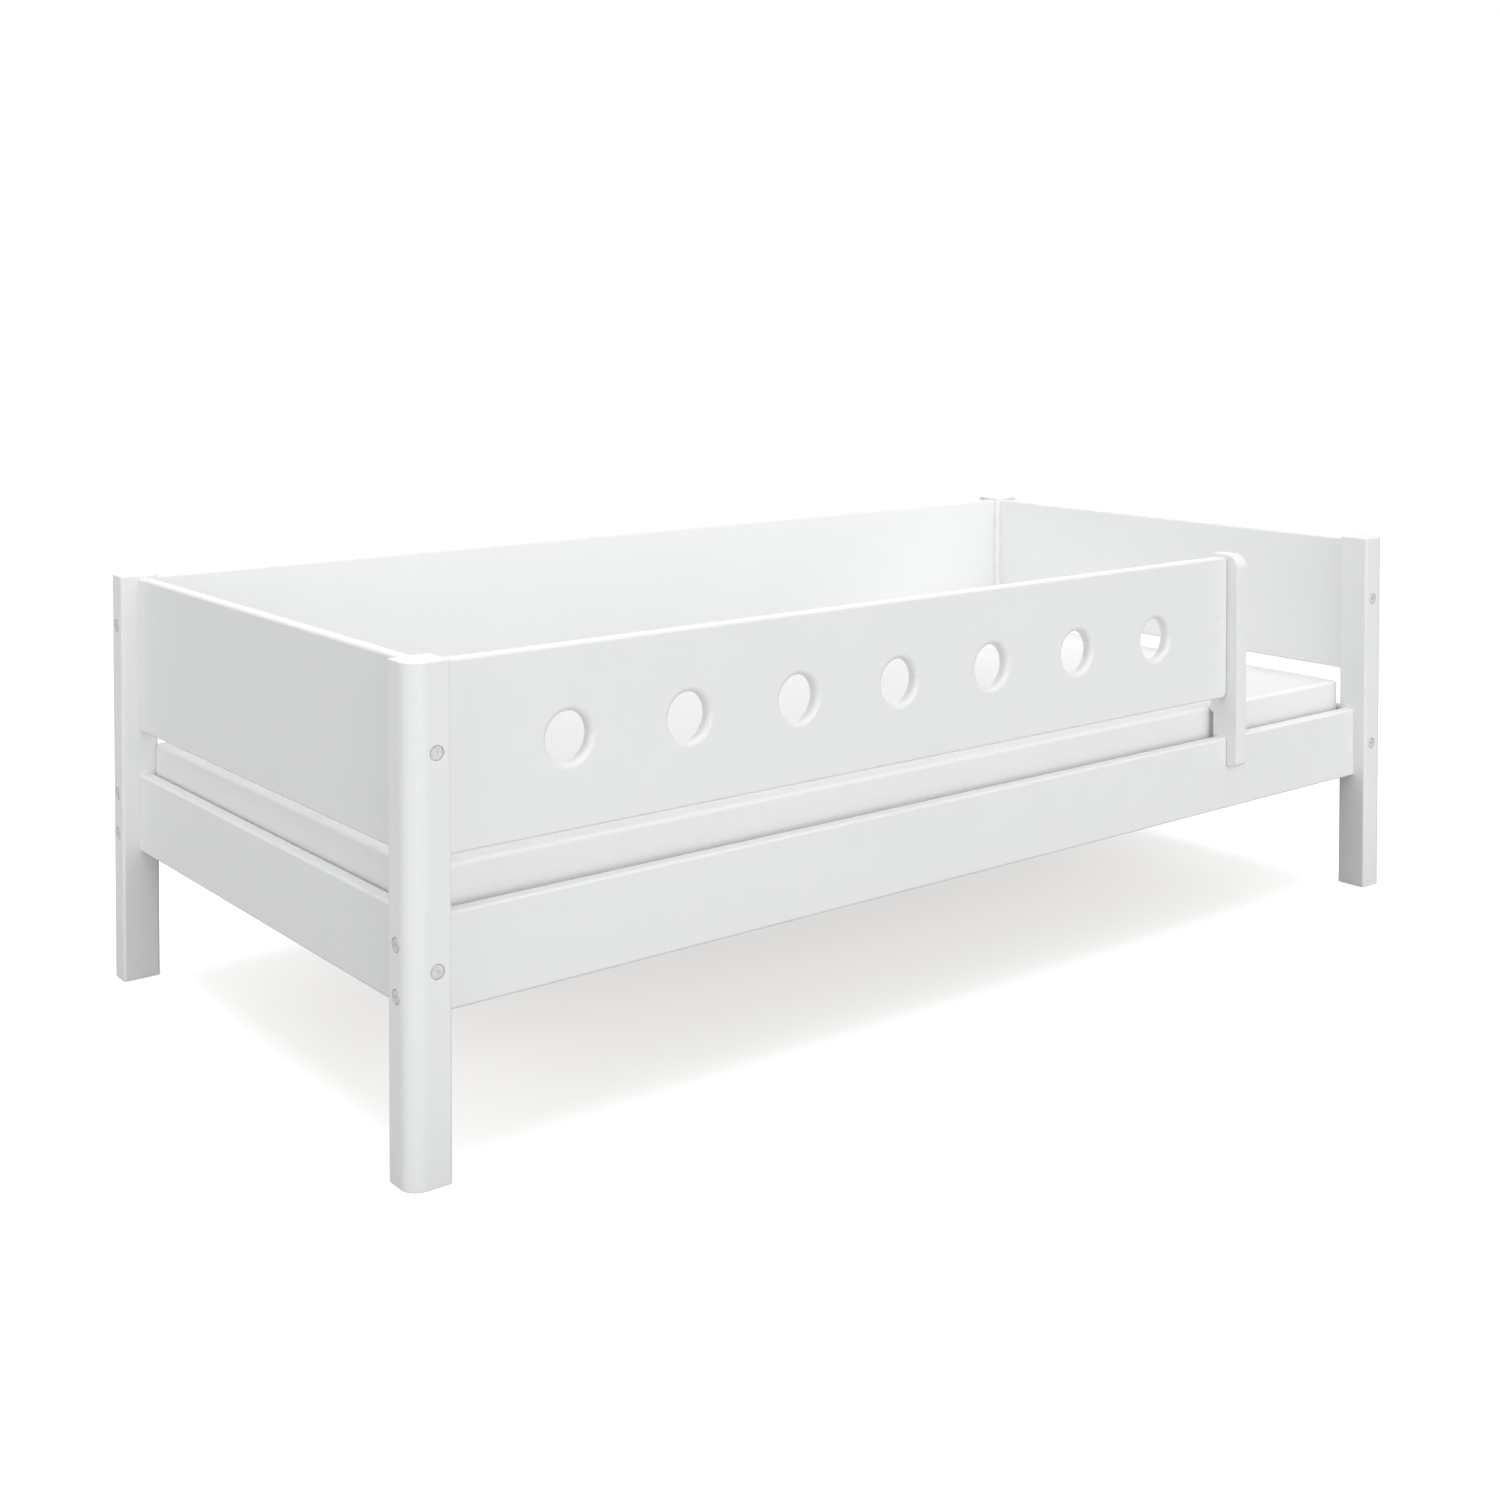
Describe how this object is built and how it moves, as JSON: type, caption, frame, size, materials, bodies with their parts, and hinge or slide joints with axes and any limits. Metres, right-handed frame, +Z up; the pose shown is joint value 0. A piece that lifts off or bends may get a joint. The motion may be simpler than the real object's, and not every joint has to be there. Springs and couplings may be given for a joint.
{
  "type": "toddler bed",
  "caption": "White lacquered single bed with round-cornered posts, low end and rear panels, a front guard rail with a row of round holes, and a mattress on slats",
  "frame": {"origin": "On the floor, under the middle of the bed", "axes": "+X along the bed towards the open entry side's post, +Y across the bed to the rear panel, +Z up"},
  "size_m": [2.12, 1.02, 0.67],
  "materials": {
    "white_lacquer": "satin",
    "slat_wood": "matte",
    "dowel_wood": "matte",
    "zinc_steel": "satin",
    "webbing": "matte",
    "mattress_foam": "matte",
    "mattress_textile": "matte"
  },
  "bodies": {
    "frame": {"end_panel_bolts": "zinc_steel", "end_panel_dowels": "dowel_wood", "end_panel_inserts": "zinc_steel", "end_panel_left": "white_lacquer", "end_panel_right": "white_lacquer", "end_rail_bolts": "zinc_steel", "end_rail_dowels": "dowel_wood", "end_rail_inserts": "zinc_steel", "end_rail_left": "white_lacquer", "end_rail_right": "white_lacquer", "guard_dowels": "dowel_wood", "guard_rail": "white_lacquer", "guard_screws": "zinc_steel", "guard_support": "white_lacquer", "ledger_front": "slat_wood", "ledger_rear": "slat_wood", "ledger_screws": "zinc_steel", "lip_screws": "zinc_steel", "post_front_left": "white_lacquer", "post_front_right": "white_lacquer", "post_rear_left": "white_lacquer", "post_rear_right": "white_lacquer", "rear_panel": "white_lacquer", "rear_panel_bolts": "zinc_steel", "rear_panel_dowels": "dowel_wood", "rear_panel_inserts": "zinc_steel", "side_rail_bolts": "zinc_steel", "side_rail_front": "white_lacquer", "side_rail_inserts": "zinc_steel", "side_rail_rear": "white_lacquer"},
    "slatted_base": {"slat_01": "slat_wood", "slat_02": "slat_wood", "slat_03": "slat_wood", "slat_04": "slat_wood", "slat_05": "slat_wood", "slat_06": "slat_wood", "slat_07": "slat_wood", "slat_08": "slat_wood", "slat_09": "slat_wood", "slat_10": "slat_wood", "slat_11": "slat_wood", "slat_12": "slat_wood", "slat_13": "slat_wood", "slat_14": "slat_wood", "slat_15": "slat_wood", "slat_ribbon_front": "webbing", "slat_ribbon_rear": "webbing"},
    "mattress": {"mattress_core": "mattress_foam", "mattress_cover": "mattress_textile"}
  },
  "joints": [
    {"name": "slatted_base_lift", "type": "slide", "parent": "frame", "child": "slatted_base", "axis": [0, 0, 1], "range_m": [0, 0.45]},
    {"name": "mattress_lift", "type": "slide", "parent": "slatted_base", "child": "mattress", "axis": [0, 0, 1], "range_m": [0, 0.45]}
  ]
}
